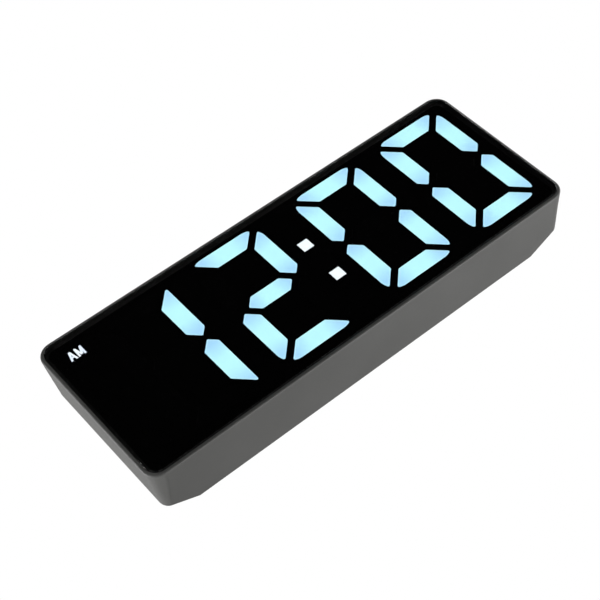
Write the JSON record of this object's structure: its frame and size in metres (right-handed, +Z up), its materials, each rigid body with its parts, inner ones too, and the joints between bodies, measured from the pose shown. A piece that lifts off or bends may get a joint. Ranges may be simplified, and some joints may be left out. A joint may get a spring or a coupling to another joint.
{
  "type": "alarm clock",
  "caption": "Slim bar-shaped LED alarm clock with a smoked front lens, large seven-segment digits, a snooze bar on top, push buttons and a battery door behind.",
  "frame": {"origin": "middle of the flat underside that the clock stands on", "axes": "+X along the display to the reader's right, +Y from the display to the back, +Z up"},
  "size_m": [0.1648, 0.023, 0.0612],
  "materials": {
    "case_plastic": "fine moulded texture, near-black",
    "cover_plastic": "fine moulded texture, near-black",
    "smoked_acrylic": "polished, dark smoked, see-through",
    "tape_black": "foam adhesive tape",
    "film_black": "matt printed film",
    "segment_glow": "lit diffuser, blue-white",
    "segment_off": "unlit smoked diffuser",
    "reflector_white": "satin white",
    "board_green": "solder mask over glass-fibre board",
    "led_white": "small surface-mounted LEDs",
    "chip_black": "moulded epoxy",
    "capacitor_silver": "drawn can",
    "ceramic_tan": "ceramic chip parts",
    "plated_steel": "nickel plated",
    "screw_steel": "black zinc plated",
    "switch_black": "moulded nylon",
    "plunger_black": "moulded nylon",
    "button_plastic": "fine satin moulded",
    "door_plastic": "fine moulded texture, near-black",
    "cell_can": "printed sleeve over a metal can",
    "wire_red": "PVC insulation",
    "wire_black": "PVC insulation",
    "solder": "solder",
    "buzzer_black": "moulded"
  },
  "bodies": {
    "case": {"front_housing": "case_plastic", "rear_cover": "cover_plastic", "front_lens": "smoked_acrylic", "lens_tape": "tape_black", "mask_film": "film_black", "light_box": "reflector_white", "hour_segments_lit": "segment_glow", "minute_segments_lit": "segment_glow", "segments_unlit": "segment_off", "colon_dots": "segment_glow", "am_indicator": "segment_glow", "pm_indicator": "segment_off", "main_board": "board_green", "display_leds": "led_white", "display_driver_chip": "chip_black", "clock_chip": "chip_black", "crystal": "plated_steel", "smoothing_capacitor": "capacitor_silver", "chip_resistors": "chip_black", "chip_capacitors": "ceramic_tan", "digit_transistors": "chip_black", "buzzer": "buzzer_black", "usb_shell": "plated_steel", "usb_tongue": "switch_black", "snooze_switch": "switch_black", "battery_cell_1": "cell_can", "battery_cell_2": "cell_can", "battery_cell_3": "cell_can", "contact_springs": "plated_steel", "contact_plates": "plated_steel", "battery_lead_red": "wire_red", "battery_lead_black": "wire_black", "solder_joints": "solder", "case_screws": "screw_steel", "board_screws": "plated_steel", "mode_switch": "switch_black", "up_switch": "switch_black", "down_switch": "switch_black", "alarm_switch": "switch_black", "light_switch": "switch_black"},
    "snooze": {"snooze_bar": "button_plastic", "snooze_plunger": "plunger_black"},
    "mode_key": {"mode_button": "button_plastic", "mode_plunger": "plunger_black"},
    "up_key": {"up_button": "button_plastic", "up_plunger": "plunger_black"},
    "down_key": {"down_button": "button_plastic", "down_plunger": "plunger_black"},
    "alarm_key": {"alarm_button": "button_plastic", "alarm_plunger": "plunger_black"},
    "light_key": {"light_button": "button_plastic", "light_plunger": "plunger_black"},
    "door": {"battery_door": "door_plastic"}
  },
  "joints": [
    {"name": "snooze_press", "type": "slide", "parent": "case", "child": "snooze", "axis": [0, 0, -1], "range_m": [0, 0.0007], "stiffness_N_per_m": 2500},
    {"name": "mode_press", "type": "slide", "parent": "case", "child": "mode_key", "axis": [0, -1, 0], "range_m": [0, 0.0005], "stiffness_N_per_m": 3000},
    {"name": "up_press", "type": "slide", "parent": "case", "child": "up_key", "axis": [0, -1, 0], "range_m": [0, 0.0005], "stiffness_N_per_m": 3000},
    {"name": "down_press", "type": "slide", "parent": "case", "child": "down_key", "axis": [0, -1, 0], "range_m": [0, 0.0005], "stiffness_N_per_m": 3000},
    {"name": "alarm_press", "type": "slide", "parent": "case", "child": "alarm_key", "axis": [0, -1, 0], "range_m": [0, 0.0005], "stiffness_N_per_m": 3000},
    {"name": "light_press", "type": "slide", "parent": "case", "child": "light_key", "axis": [0, -1, 0], "range_m": [0, 0.0005], "stiffness_N_per_m": 3000},
    {"name": "battery_door_tilt", "type": "hinge", "parent": "case", "child": "door", "pos_m": [0.006, 0.0107, 0.03875], "axis": [1, 0, 0], "range_deg": [0, 95]}
  ]
}
